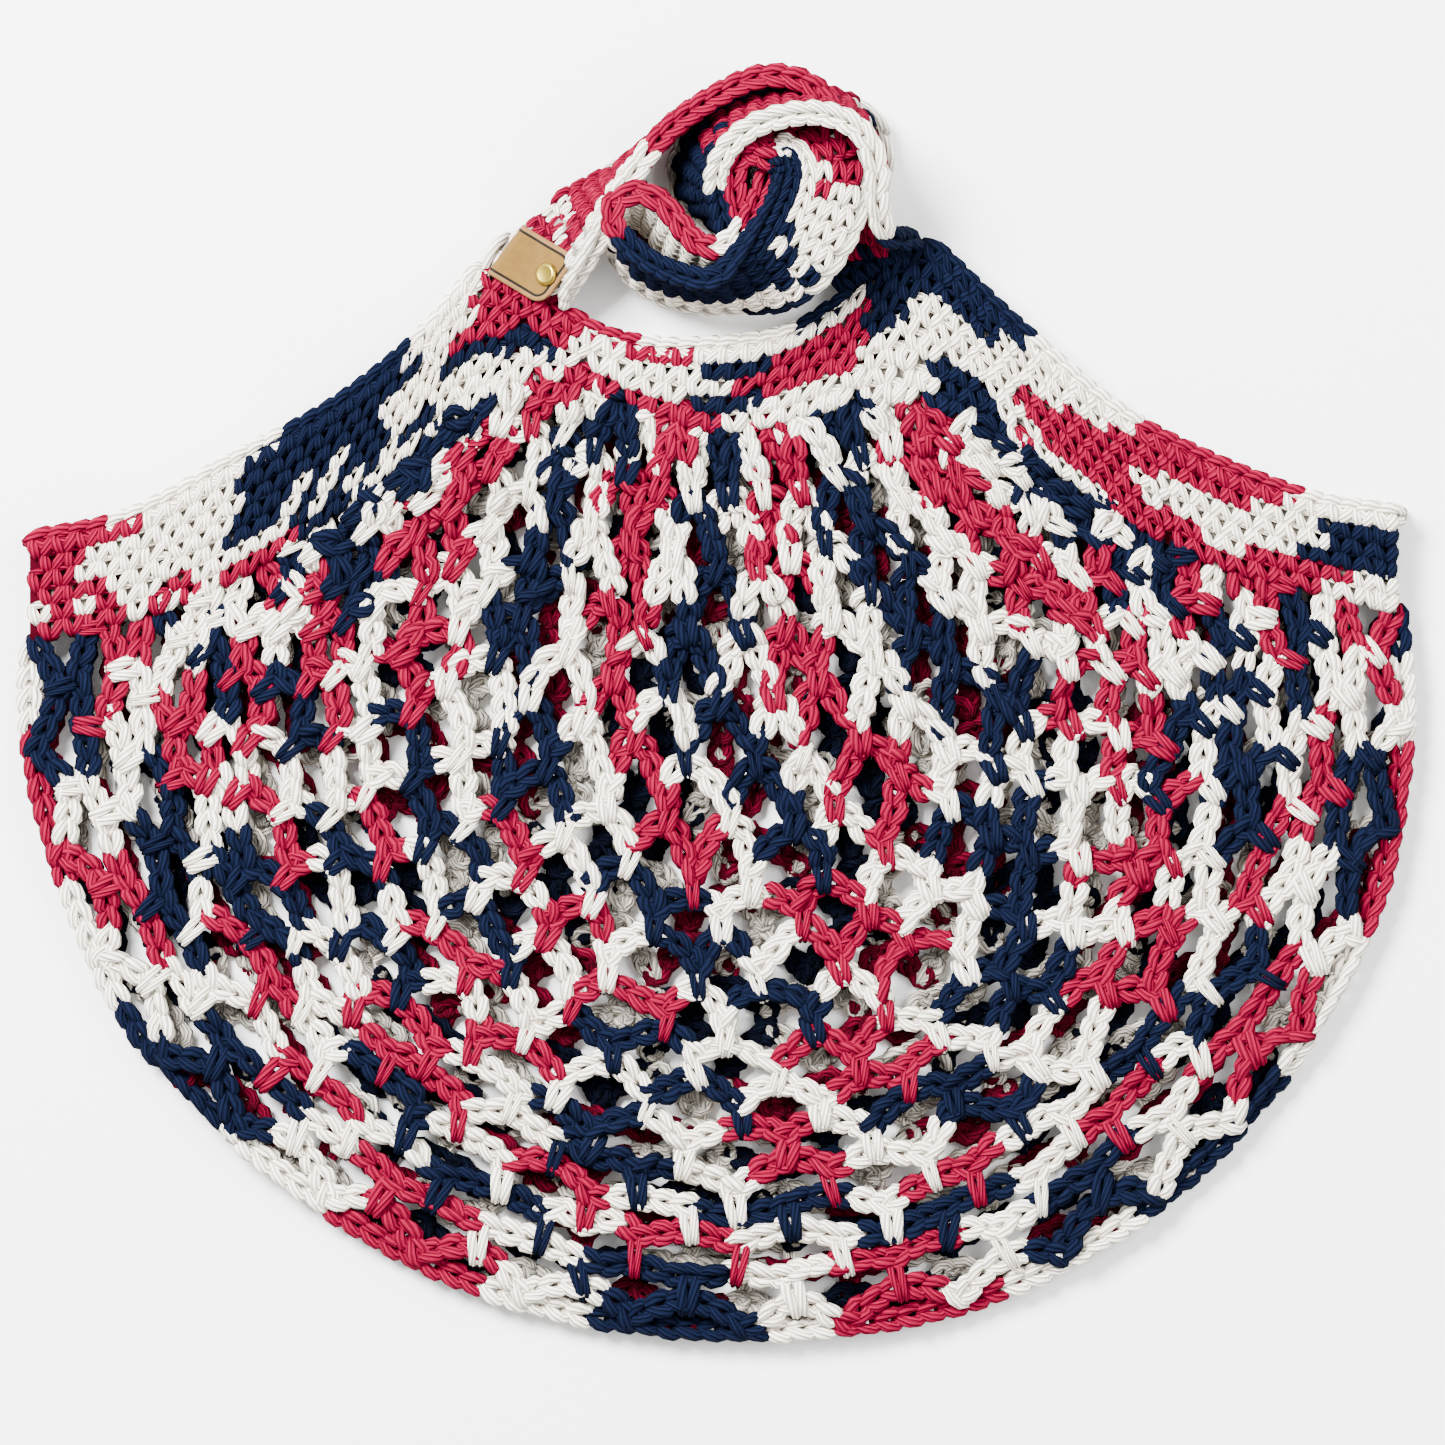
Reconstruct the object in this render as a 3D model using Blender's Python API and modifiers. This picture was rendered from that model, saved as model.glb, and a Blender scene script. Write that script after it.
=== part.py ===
"""Crocheted mesh market bag, lying flat with its long strap wound up on top of it.

Metres, +Z up. The bag lies on the XY plane, its mouth towards +Y. The front of the bag is the upper layer.
"""
import math

import bmesh
import bpy
from mathutils import Vector

MM = 0.001

# Driving dimensions, in millimetres
NET_THICK = 3.4
NET_STRAND = 4.6
NET_LOOPS = 12
NET_ROWS = 10
FOLD_STEPS = 3
BAND_THICK = 4.6
STRAP_WIDTH = 26.0
STRAP_THICK = 4.6
FRONT_LEVEL = 8.2
RIDGE_HEIGHT = 1.3
RIDGE_COUNT = 8
SEAM_GAP = 1.0
FOLD_DROP = 1.6
LEAST_HOLE = 4.0
TAG_LENGTH = 20.0
TAG_THICK = 1.2
TAG_GAP = 1.0
TAG_BEND = 0.3
RIVET_RADIUS = 3.1
RIVET_EDGE = 0.8
RIVET_DOME = 0.9
POST_RADIUS = 1.2
POST_PLAY = 0.4
# Middle of the whole bag in the plan that the tables below are drawn in
MIDDLE = (-0.5, 0.45)

# Rows crowd together towards the bottom of the bag: 0 at its sides, this much in its middle
ROW_CROWDING = 0.45

# The bottom fold of the net, from the left end of the rim round to its right end
CONTOUR = [
    (-185, 16), (-184, -16), (-173, -54), (-152, -94), (-112, -131), (-60, -159),
    (0, -170), (60, -164), (112, -140), (153, -100), (178, -54), (186, -10), (184, 24),
]

# Lower edge of the rim: down the left side to the fold, under the collar, and the right side
LEFT_SEAM = [(-185, 16), (-141, 27), (-104, 49), (-77, 71)]
COLLAR_SEAM = [(-77, 71), (-47, 87), (0, 73), (45, 81), (77, 72)]
RIGHT_SEAM = [(184, 24), (131, 38), (104, 54), (77, 72)]

# Upper edge of the rim on the same three stretches
LEFT_EDGE = [(-185, 43), (-158, 49), (-128, 65), (-101, 80), (-78, 98.5), (-63.8, 115.4)]
COLLAR_EDGE = [(-41, 104.5), (-29, 98), (-10, 95), (18, 98), (36, 108)]
RIGHT_EDGE = [(184, 50), (157, 55), (114, 74), (84, 98), (57.4, 123.2)]

# The wound strap in three runs. Each station is the middle of the strap:
# x and y in plan, height, and the lean of its inner edge above level, in degrees
OUTER_RUN = [
    (-51.4, 111.6, 8.4, 4), (-48.4, 117.2, 9.5, 18), (-37.4, 128.2, 13.8, 43), (-24.6, 141.4, 15.5, 62),
    (-12.5, 153.6, 15.8, 75), (1.0, 162.0, 15.8, 85), (14.0, 166.2, 15.8, 90), (26.0, 164.0, 14.2, 72),
    (34.4, 157.4, 9.2, 32), (35.4, 147.4, 6.8, 16), (32.0, 137.0, 6.4, 14), (25.0, 129.0, 6.4, 14),
]
UPPER_RUN = [
    (45.8, 117.0, 8.4, 4), (42.0, 121.8, 10.0, 20), (39.6, 128.6, 14.4, 48), (40.6, 137.2, 19.5, 72),
    (41.8, 147.0, 23.0, 84), (38.0, 155.6, 24.5, 88), (29.5, 160.0, 25.0, 94), (19.0, 160.0, 25.0, 98),
    (8.0, 156.0, 24.0, 102), (-0.5, 148.5, 21.5, 102), (-2.6, 139.0, 18.0, 98), (1.0, 129.5, 15.6, 92),
    (6.0, 124.0, 15.0, 90),
]
INNER_RUN = [
    (7.6, 130.0, 15.2, 92), (5.6, 138.0, 16.5, 92), (7.0, 146.5, 18.0, 90), (13.0, 150.8, 20.0, 78),
    (22.5, 151.0, 24.0, 46), (28.4, 145.0, 27.5, 18), (28.0, 135.0, 29.5, 8), (23.0, 124.0, 29.5, 4),
    (14.0, 114.8, 28.0, 14), (2.0, 110.4, 25.6, 44), (-10.0, 111.6, 22.6, 68), (-20.5, 117.4, 20.0, 78),
    (-27.6, 125.5, 18.5, 84), (-28.0, 132.5, 18.0, 90), (-23.0, 136.4, 18.0, 92), (-15.5, 133.6, 18.5, 94),
    (-8.5, 125.5, 19.5, 96), (-2.0, 120.6, 20.0, 96), (4.4, 122.0, 19.0, 94), (10.2, 130.0, 17.0, 92),
    (13.4, 139.0, 15.6, 90),
]

STRAP_STEP = 3.9
# The tag clasps the outer edge of the strap over these steps of the outer run
TAG_STEP = 2.0
TAG_STEPS = (1, 8)
RIVET_FROM_EDGE = 15.0


def clearScene():
    for obj in list(bpy.data.objects):
        bpy.data.objects.remove(obj, do_unlink=True)


def makeMaterial(name, colour, roughness, metallic=0.0):
    material = bpy.data.materials.new(name)
    material.use_nodes = True
    shader = material.node_tree.nodes["Principled BSDF"]
    shader.inputs["Base Color"].default_value = (*colour, 1.0)
    shader.inputs["Roughness"].default_value = roughness
    shader.inputs["Metallic"].default_value = metallic
    return material


def addObject(name, bm, collection, material):
    mesh = bpy.data.meshes.new(name)
    bm.to_mesh(mesh)
    bm.free()
    mesh.materials.append(material)
    obj = bpy.data.objects.new(name, mesh)
    collection.objects.link(obj)
    return obj


def thicken(obj, thickness):
    solidify = obj.modifiers.new("Thickness", "SOLIDIFY")
    solidify.thickness = thickness * MM
    solidify.offset = 0.0
    solidify.use_even_offset = True
    solidify.thickness_clamp = 1.0
    return solidify


def spline(points, t):
    """Catmull-Rom curve through the points, t from 0 to 1."""
    last = len(points) - 1
    place = min(max(t, 0.0), 1.0) * last
    i = min(int(place), last - 1)
    u = place - i
    p1 = Vector(points[i])
    p2 = Vector(points[i + 1])
    p0 = Vector(points[i - 1]) if i > 0 else p1 * 2 - p2
    p3 = Vector(points[i + 2]) if i + 2 <= last else p2 * 2 - p1
    slope = (p2 - p0) * u
    bend = (2 * p0 - 5 * p1 + 4 * p2 - p3) * u**2
    twist = (3 * p1 - p0 - 3 * p2 + p3) * u**3
    return 0.5 * (2 * p1 + slope + bend + twist)


def evenSpline(points, count, fine=40):
    """Points at equal distances along the curve."""
    steps = (len(points) - 1) * fine
    dense = [spline(points, i / steps) for i in range(steps + 1)]
    run = [0.0]
    for a, b in zip(dense, dense[1:]):
        run.append(run[-1] + (Vector(b[:2]) - Vector(a[:2])).length)
    result = []
    j = 0
    for k in range(count + 1):
        target = run[-1] * k / count
        while j < steps - 1 and run[j + 1] < target:
            j += 1
        share = (target - run[j]) / max(run[j + 1] - run[j], 1e-9)
        result.append(dense[j].lerp(dense[j + 1], min(max(share, 0.0), 1.0)))
    return result


FINE = 120
CURVES = {
    "contour": evenSpline(CONTOUR, FINE),
    "collar": evenSpline(COLLAR_SEAM, FINE),
    "left": evenSpline(LEFT_SEAM, FINE),
    "right": evenSpline(RIGHT_SEAM, FINE),
}


def along(name, t):
    place = min(max(t, 0.0), 1.0) * FINE
    i = min(int(place), FINE - 1)
    return CURVES[name][i].lerp(CURVES[name][i + 1], place - i)


def netPoint(t, rho):
    """A place in the net: t runs from its left seam to its right, rho from the fold up to the collar."""
    low = along("contour", t)
    high = along("collar", t)
    left = along("left", rho)
    right = along("right", rho)
    leftEnd = along("contour", 0.0).lerp(along("collar", 0.0), rho)
    rightEnd = along("contour", 1.0).lerp(along("collar", 1.0), rho)
    return low.lerp(high, rho) + left.lerp(right, t) - leftEnd.lerp(rightEnd, t)


def rowShare(row, t):
    """How far up the net a row lies: evenly spaced at the sides, crowded near the fold in the middle."""
    return (row / NET_ROWS) ** (1.0 + ROW_CROWDING * math.sin(math.pi * t))


def ridge(t, rho):
    """The gathered net stands in soft ridges below the collar, which die out towards the edges."""
    fade = math.sin(math.pi * min(rho, 0.96)) ** 0.8 * math.sin(math.pi * t)
    return RIDGE_HEIGHT * fade * math.sin(2 * math.pi * RIDGE_COUNT * t + 1.2 * math.sin(5 * rho))


def smooth(x):
    x = min(max(x, 0.0), 1.0)
    return x * x * (3 - 2 * x)


def jointPlace(layer, row, column):
    """Place of one joint of the front or the back layer. The layers meet in a short upright fold."""
    t = column / NET_LOOPS
    rho = rowShare(row, t)
    flat = netPoint(t, rho)
    if layer == "front":
        foldLevel = FRONT_LEVEL - FOLD_DROP
        level = FRONT_LEVEL + ridge(t, rho)
    else:
        foldLevel = NET_THICK / 2 + FOLD_DROP
        level = NET_THICK / 2
    height = foldLevel + (level - foldLevel) * smooth(row)
    return Vector((flat.x, flat.y, height)) * MM


def holeWidth(face):
    """Widest round thing that would pass the hole left in this face by strands of the usual width."""
    return 4 * face.calc_area() / face.calc_perimeter() - NET_STRAND * MM


def makeNet(collection):
    """Two layers of a staggered net of loops, joined round the bottom fold and open at the mouth."""
    bm = bmesh.new()
    verts = {}

    def joint(layer, row, column):
        key = (layer, row, round(column, 3))
        if key not in verts:
            verts[key] = bm.verts.new(jointPlace(layer, row, column))
        return verts[key]

    def cell(layer, *places):
        corners = [joint(layer, row, column) for row, column in places]
        bm.faces.new(corners if layer == "front" else corners[::-1])

    n = NET_LOOPS
    top = NET_ROWS
    for layer in ("front", "back"):
        for row in range(1, top):
            shift = 0.5 if row % 2 == 0 else 0.0
            for k in range(n) if row % 2 == 0 else range(1, n):
                c = k + shift
                cell(layer, (row + 1, c), (row, c - 0.5), (row - 1, c), (row, c + 0.5))
        for row in range(1, top, 2):
            cell(layer, (row + 1, 0), (row - 1, 0), (row, 0.5))
            cell(layer, (row + 1, n), (row, n - 0.5), (row - 1, n))
        for k in range(n):
            low = [(0, k + i / FOLD_STEPS) for i in range(FOLD_STEPS + 1)]
            cell(layer, *low, (1, k + 0.5))
            cell(layer, (top, k), (top - 1, k + 0.5), (top, k + 1))
    cells = [face for face in bm.faces if holeWidth(face) > LEAST_HOLE * MM]
    for k in range(n):
        for i in range(FOLD_STEPS):
            a = k + i / FOLD_STEPS
            b = k + (i + 1) / FOLD_STEPS
            low = [joint("back", 0, a), joint("back", 0, b)]
            bm.faces.new(low + [joint("front", 0, b), joint("front", 0, a)])
    bmesh.ops.recalc_face_normals(bm, faces=bm.faces[:])
    bmesh.ops.inset_individual(bm, faces=cells, thickness=NET_STRAND / 2 * MM, use_even_offset=True)
    bmesh.ops.delete(bm, geom=cells, context="FACES_ONLY")
    net = addObject("net_pouch", bm, collection, makeMaterial("net_cotton", (0.82, 0.76, 0.72), 0.9))
    thicken(net, NET_THICK)
    print("net gaps", len(cells))
    return net


def bandColumns():
    """Lower and upper points of one layer of the rim, from its left fold to its right, clear of the net."""
    columns = []
    half = NET_ROWS // 2
    rowPlaces = [rowShare(2 * i, 0.0) for i in range(half + 1)]
    left = evenSpline(LEFT_EDGE, FINE)
    right = evenSpline(RIGHT_EDGE, FINE)
    collar = evenSpline(COLLAR_EDGE, FINE)
    for rho in rowPlaces:
        columns.append((along("left", rho), left[round(FINE * rho)]))
    for k in range(1, NET_LOOPS):
        high = collar[round(FINE * (k - 1) / (NET_LOOPS - 2))]
        columns.append((along("collar", k / NET_LOOPS), high))
    for rho in reversed(rowPlaces):
        columns.append((along("right", rho), right[round(FINE * rho)]))
    last = len(columns) - 1
    clear = []
    for i, (low, high) in enumerate(columns):
        seam = columns[min(i + 1, last)][0] - columns[max(i - 1, 0)][0]
        clear.append((low + Vector((-seam.y, seam.x)).normalized() * SEAM_GAP, high))
    return clear


def makeRim(collection):
    """One band of close stitches: over the front, round a fold, over the back and round the other fold."""
    columns = bandColumns()
    back = BAND_THICK / 2
    fold = (back + FRONT_LEVEL) / 2
    across = 3
    ring = [(low, high, FRONT_LEVEL, 0.0) for low, high in columns]
    ring.append((*columns[-1], fold, 2.4))
    ring += [(low, high, back, 0.0) for low, high in reversed(columns)]
    ring.append((*columns[0], fold, -2.4))
    bm = bmesh.new()
    rows = []
    for low, high, level, push in ring:
        line = []
        for i in range(across + 1):
            place = low.lerp(high, i / across)
            line.append(bm.verts.new(Vector((place.x + push, place.y, level)) * MM))
        rows.append(line)
    for a, b in zip(rows, rows[1:] + rows[:1]):
        for i in range(across):
            bm.faces.new((a[i], b[i], b[i + 1], a[i + 1]))
    bmesh.ops.recalc_face_normals(bm, faces=bm.faces[:])
    rim = addObject("rim_band", bm, collection, makeMaterial("rim_cotton", (0.74, 0.2, 0.28), 0.9))
    thicken(rim, BAND_THICK)
    return rim


def strapFrame(stations, count):
    """Middle, heading and width direction of the strap at even distances."""
    points = evenSpline(stations, count)
    frames = []
    for i, point in enumerate(points):
        ahead = points[min(i + 1, count)]
        behind = points[max(i - 1, 0)]
        heading = (Vector(ahead[:3]) - Vector(behind[:3])).normalized()
        side = Vector((heading.y, -heading.x, 0)).normalized()
        lean = math.radians(point[3])
        wide = side * math.cos(lean) + Vector((0, 0, 1)) * math.sin(lean)
        wide = (wide - heading * wide.dot(heading)).normalized()
        frames.append((Vector(point[:3]), heading, wide))
    return frames


def runLength(stations):
    fine = [spline(stations, i / 400) for i in range(401)]
    return sum((Vector(b[:2]) - Vector(a[:2])).length for a, b in zip(fine, fine[1:]))


def runFrames(stations):
    return strapFrame(stations, round(runLength(stations) / STRAP_STEP))


def ribbon(bm, rows):
    """Faces between neighbouring rows of points."""
    lines = [[bm.verts.new(place * MM) for place in row] for row in rows]
    for a, b in zip(lines, lines[1:]):
        for i in range(len(a) - 1):
            bm.faces.new((a[i], b[i], b[i + 1], a[i + 1]))


def makeRun(name, stations, collection, material):
    """One run of the strap: a ribbon between its two edges, thickened."""
    bm = bmesh.new()
    rows = []
    for middle, _, wide in runFrames(stations):
        rows.append([middle + wide * share * STRAP_WIDTH for share in (-0.5, 0.0, 0.5)])
    ribbon(bm, rows)
    run = addObject(name, bm, collection, material)
    thicken(run, STRAP_THICK)
    return run


def combine(obj, other, operation):
    boolean = obj.modifiers.new(other.name, "BOOLEAN")
    boolean.operation = operation
    boolean.object = other
    boolean.solver = "EXACT"
    return boolean


def asHelper(obj):
    obj.hide_render = True
    obj.display_type = "WIRE"
    return obj


def turned(name, profile, collection, material, place, axis):
    """A turned piece: profile points are (radius, height), bottom to top, along the axis."""
    bm = bmesh.new()
    verts = [bm.verts.new(Vector((radius, 0, height)) * MM) for radius, height in profile]
    edges = [bm.edges.new(pair) for pair in zip(verts, verts[1:])]
    bmesh.ops.spin(
        bm, geom=verts + edges, cent=(0, 0, 0), axis=(0, 0, 1), angle=2 * math.pi, steps=20, use_merge=True
    )
    bmesh.ops.remove_doubles(bm, verts=bm.verts[:], dist=0.00001)
    bmesh.ops.recalc_face_normals(bm, faces=bm.faces[:])
    obj = addObject(name, bm, collection, material)
    obj.rotation_mode = "QUATERNION"
    obj.rotation_quaternion = axis.to_track_quat("Z", "Y")
    obj.location = place * MM
    return obj


def makeStrap(bag, helpers):
    """The long strap, wound up and pressed together: one solid of its wound form."""
    cotton = makeMaterial("strap_cotton", (0.12, 0.15, 0.32), 0.9)
    strap = makeRun("strap", OUTER_RUN, bag, cotton)
    for name, stations in (("strap_upper_run", UPPER_RUN), ("strap_inner_run", INNER_RUN)):
        combine(strap, asHelper(makeRun(name, stations, helpers, cotton)), "UNION")
    return strap


def makeTag(bag, helpers, strap):
    """A strip of leather folded over the outer edge of the strap, with a rivet through all its layers."""
    leather = makeMaterial("tag_leather", (0.45, 0.27, 0.13), 0.55)
    brass = makeMaterial("rivet_brass", (0.75, 0.55, 0.2), 0.3, 1.0)
    count = round(runLength(OUTER_RUN) / TAG_STEP)
    frames = strapFrame(OUTER_RUN, count)[TAG_STEPS[0]:TAG_STEPS[1] + 1]
    off = STRAP_THICK / 2 + TAG_GAP + TAG_THICK / 2
    edge = -STRAP_WIDTH / 2
    inner = edge + TAG_LENGTH
    turn = [
        (edge - off * math.sin(math.pi * i / 6) * 0.8, off * math.cos(math.pi * i / 6)) for i in range(7)
    ]
    half = edge + TAG_LENGTH / 2
    path = [(inner, off), (half, off)] + turn + [(half, -off), (inner, -off)]
    bm = bmesh.new()
    rows = []
    for middle, heading, wide in frames:
        normal = wide.cross(heading).normalized()
        if normal.z < 0:
            normal = -normal
        rows.append([middle + wide * across + normal * out for across, out in path])
    ribbon(bm, rows)
    bmesh.ops.recalc_face_normals(bm, faces=bm.faces[:])
    tag = addObject("label_tag", bm, bag, leather)
    thicken(tag, TAG_THICK)

    middle, heading, wide = frames[len(frames) // 2]
    normal = wide.cross(heading).normalized()
    if normal.z < 0:
        normal = -normal
    place = middle + wide * (edge + RIVET_FROM_EDGE)
    seat = off + TAG_THICK / 2 + TAG_GAP + TAG_BEND
    play = POST_RADIUS + POST_PLAY
    bore = [(0, -seat - 3), (play, -seat - 3), (play, seat + 3), (0, seat + 3)]
    hole = asHelper(turned("rivet_hole", bore, helpers, leather, place, normal))
    combine(strap, hole, "DIFFERENCE")
    combine(tag, hole, "DIFFERENCE")
    crown = seat + RIVET_EDGE
    outline = [
        (0, -crown), (RIVET_RADIUS, -crown), (RIVET_RADIUS, -seat), (POST_RADIUS, -seat),
        (POST_RADIUS, seat), (RIVET_RADIUS, seat), (RIVET_RADIUS, crown - 0.2),
        (RIVET_RADIUS * 0.75, crown + RIVET_DOME * 0.6), (RIVET_RADIUS * 0.4, crown + RIVET_DOME * 0.9),
        (0, crown + RIVET_DOME),
    ]
    turned("rivet", outline, bag, brass, place, normal)


def main():
    clearScene()
    scene = bpy.context.scene
    bag = bpy.data.collections.new("MarketBag")
    helpers = bpy.data.collections.new("Cutters")
    scene.collection.children.link(bag)
    scene.collection.children.link(helpers)
    makeNet(bag)
    makeRim(bag)
    strap = makeStrap(bag, helpers)
    makeTag(bag, helpers, strap)
    for obj in bpy.data.objects:
        obj.location -= Vector((*MIDDLE, 0)) * MM


main()
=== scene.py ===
import math

import bmesh
import bpy
import numpy as np
from mathutils import Matrix, Vector, noise


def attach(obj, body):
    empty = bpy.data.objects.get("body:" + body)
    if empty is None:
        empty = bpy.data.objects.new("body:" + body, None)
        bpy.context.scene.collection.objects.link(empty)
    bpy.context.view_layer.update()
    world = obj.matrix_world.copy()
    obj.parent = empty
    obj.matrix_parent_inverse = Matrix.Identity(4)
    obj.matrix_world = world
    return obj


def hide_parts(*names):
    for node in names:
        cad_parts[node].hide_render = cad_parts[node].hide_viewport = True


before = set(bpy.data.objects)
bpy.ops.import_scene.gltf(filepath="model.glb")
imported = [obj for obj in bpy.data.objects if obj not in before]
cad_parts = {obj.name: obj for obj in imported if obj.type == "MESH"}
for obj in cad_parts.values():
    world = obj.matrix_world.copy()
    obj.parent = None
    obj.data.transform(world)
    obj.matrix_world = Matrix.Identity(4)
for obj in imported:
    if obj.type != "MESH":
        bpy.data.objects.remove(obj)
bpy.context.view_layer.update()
mm = 0.001
middle = Vector((-0.5, 0.45))  # middle of the whole bag, in the plan that the tables are drawn in
white, red, navy = 0, 1, 2
fineness = 120
chance = np.random.default_rng(11)

stage = {
    # the photo: its side and a pixel's size, its middle, and the plan's zero in it
    "photo": 1445,
    "pixel": 0.27,
    "aim": (722.5, 722.5),
    "zero": (715, 701),
    # the camera, in metres over the net's top
    "sensor": 36,
    "height": 4.0,
    "netTop": 0.008,
    "floor": 3.0,
    "floorDrop": 0.0003,
    "floorTone": (0.93, 0.93, 0.93),
    "floorRoughness": 0.95,
    "floorGloss": 0.1,
    "sky": 1.25,
    # place, size and power of each lamp
    "lamps": [((-0.9, 0.9, 1.5), 0.8, 245), ((1.0, 0.3, 1.3), 1.0, 42)],
}


def placeCamera():
    camera = bpy.data.cameras.new("overhead")
    camera.sensor_width = stage["sensor"]
    camera.lens = stage["sensor"] * stage["height"] / (stage["photo"] * stage["pixel"] * mm)
    eye = bpy.data.objects.new("overhead", camera)
    x = (stage["aim"][0] - stage["zero"][0]) * stage["pixel"] - middle.x
    y = (stage["zero"][1] - stage["aim"][1]) * stage["pixel"] - middle.y
    eye.location = (x * mm, y * mm, stage["height"] + stage["netTop"])
    bpy.context.scene.collection.objects.link(eye)
    bpy.context.scene.camera = eye


def plainMaterial(name, tone, roughness, metallic=0.0, gloss=0.3):
    material = bpy.data.materials.new(name)
    material.use_nodes = True
    shader = material.node_tree.nodes["Principled BSDF"]
    shader.inputs["Base Color"].default_value = (*tone, 1)
    shader.inputs["Roughness"].default_value = roughness
    shader.inputs["Metallic"].default_value = metallic
    shader.inputs["Specular IOR Level"].default_value = gloss
    return material


def addPiece(name, bm, materials, smooth=False):
    mesh = bpy.data.meshes.new(name)
    bm.to_mesh(mesh)
    bm.free()
    for material in materials:
        mesh.materials.append(material)
    for face in mesh.polygons:
        face.use_smooth = smooth
    obj = bpy.data.objects.new(name, mesh)
    bpy.context.scene.collection.objects.link(obj)
    return obj


def setStage():
    placeCamera()
    for i, (place, size, power) in enumerate(stage["lamps"]):
        lamp = bpy.data.lights.new("softbox%d" % i, "AREA")
        lamp.size = size
        lamp.energy = power
        obj = bpy.data.objects.new("softbox%d" % i, lamp)
        obj.location = place
        obj.rotation_euler = (-Vector(place)).to_track_quat("-Z", "Y").to_euler()
        bpy.context.scene.collection.objects.link(obj)
    world = bpy.data.worlds.new("studio")
    world.use_nodes = True
    sky = world.node_tree.nodes["Background"]
    sky.inputs["Color"].default_value = (1, 1, 1, 1)
    sky.inputs["Strength"].default_value = stage["sky"]
    bpy.context.scene.world = world
    bm = bmesh.new()
    bmesh.ops.create_grid(bm, x_segments=1, y_segments=1, size=stage["floor"])
    bmesh.ops.translate(bm, verts=bm.verts, vec=(0, 0, -stage["floorDrop"]))
    paper = plainMaterial("paper", stage["floorTone"], stage["floorRoughness"], gloss=stage["floorGloss"])
    floor = addPiece("floor", bm, [paper])
    print("stage set")


def spline(points, t):
    # Catmull-Rom curve through the points
    last = len(points) - 1
    place = min(max(t, 0.0), 1.0) * last
    i = min(int(place), last - 1)
    u = place - i
    p1 = Vector(points[i])
    p2 = Vector(points[i + 1])
    p0 = Vector(points[i - 1]) if i > 0 else p1 * 2 - p2
    p3 = Vector(points[i + 2]) if i + 2 <= last else p2 * 2 - p1
    slope = (p2 - p0) * u
    bend = (2 * p0 - 5 * p1 + 4 * p2 - p3) * u**2
    twist = (3 * p1 - p0 - 3 * p2 + p3) * u**3
    return 0.5 * (2 * p1 + slope + bend + twist)


def evenSpline(points, count, fine=40, flat=True):
    # places at equal distances, measured in plan when flat
    steps = (len(points) - 1) * fine
    dense = [spline(points, i / steps) for i in range(steps + 1)]
    size = 2 if flat else 3
    run = [0.0]
    for a, b in zip(dense, dense[1:]):
        run.append(run[-1] + (Vector(b[:size]) - Vector(a[:size])).length)
    places = []
    j = 0
    for k in range(count + 1):
        target = run[-1] * k / count
        while j < steps - 1 and run[j + 1] < target:
            j += 1
        share = (target - run[j]) / max(run[j + 1] - run[j], 1e-9)
        places.append(dense[j].lerp(dense[j + 1], min(max(share, 0.0), 1.0)))
    return places


def curveLength(points, fine=12):
    steps = (len(points) - 1) * fine
    dense = [spline(points, i / steps) for i in range(steps + 1)]
    return sum((Vector(b[:3]) - Vector(a[:3])).length for a, b in zip(dense, dense[1:]))


def toneAt(table, place):
    # the last entry that starts at or before the place
    tone = table[0][1]
    for start, colour in table:
        if place >= start:
            tone = colour
    return tone


yarn = {
    "tones": ((0.95, 0.865, 0.745), (0.19, 0.0014, 0.022), (0.0030, 0.0052, 0.0172)),
    "names": ("yarnWhite", "yarnRed", "yarnNavy"),
    "roughness": 0.9,
    "gloss": 0.03,
    # plies round the yarn, and the length in which they turn once
    "plies": 7,
    "turn": 24.0,
    "plyTop": 0.3,
    "stagger": 6,
    # scale and share of the fibres' grain and of the uneven dye
    "grain": (1400, 0.3),
    "dye": (90, 0.25),
    "dyeLow": 0.12,
    "bump": (0.9, 0.0006),
    # painted shade: brightness between the plies and deep in a stitch, and the heights between which it
    # clears
    "valleyShade": 0.52,
    "deepShade": 0.22,
    "low": -1.5,
    "high": 1.4,
    # how softly it flattens against the table
    "give": 0.8,
}


def vary(middleValue, spread):
    return float(chance.normal(middleValue, spread))


def stagger():
    # where along the twist of the plies a stitch starts
    return float(chance.random() * yarn["stagger"])


def mathNode(tree, operation, first, second=None, third=None):
    # numbers go into the sockets, and outputs are linked to them
    node = tree.nodes.new("ShaderNodeMath")
    node.operation = operation
    for socket, value in zip(node.inputs, (first, second, third)):
        if isinstance(value, (int, float)):
            socket.default_value = value
        elif value is not None:
            tree.links.new(value, socket)
    return node.outputs[0]


def noiseNode(tree, scale, detail=2):
    where = tree.nodes.new("ShaderNodeTexCoord")
    node = tree.nodes.new("ShaderNodeTexNoise")
    node.inputs["Scale"].default_value = scale
    node.inputs["Detail"].default_value = detail
    tree.links.new(where.outputs["Object"], node.inputs["Vector"])
    return node.outputs["Fac"]


def tinted(tree, tone, factor):
    mix = tree.nodes.new("ShaderNodeMix")
    mix.data_type = "RGBA"
    mix.blend_type = "MULTIPLY"
    mix.inputs["Factor"].default_value = 1.0
    if isinstance(tone, tuple):
        mix.inputs["A"].default_value = (*tone, 1)
    else:
        tree.links.new(tone, mix.inputs["A"])
    tree.links.new(factor, mix.inputs["B"])
    return mix.outputs["Result"]


def addBump(tree, height, strength, distance):
    bump = tree.nodes.new("ShaderNodeBump")
    bump.inputs["Strength"].default_value = strength
    bump.inputs["Distance"].default_value = distance
    tree.links.new(height, bump.inputs["Height"])
    tree.links.new(bump.outputs["Normal"], tree.nodes["Principled BSDF"].inputs["Normal"])


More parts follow.
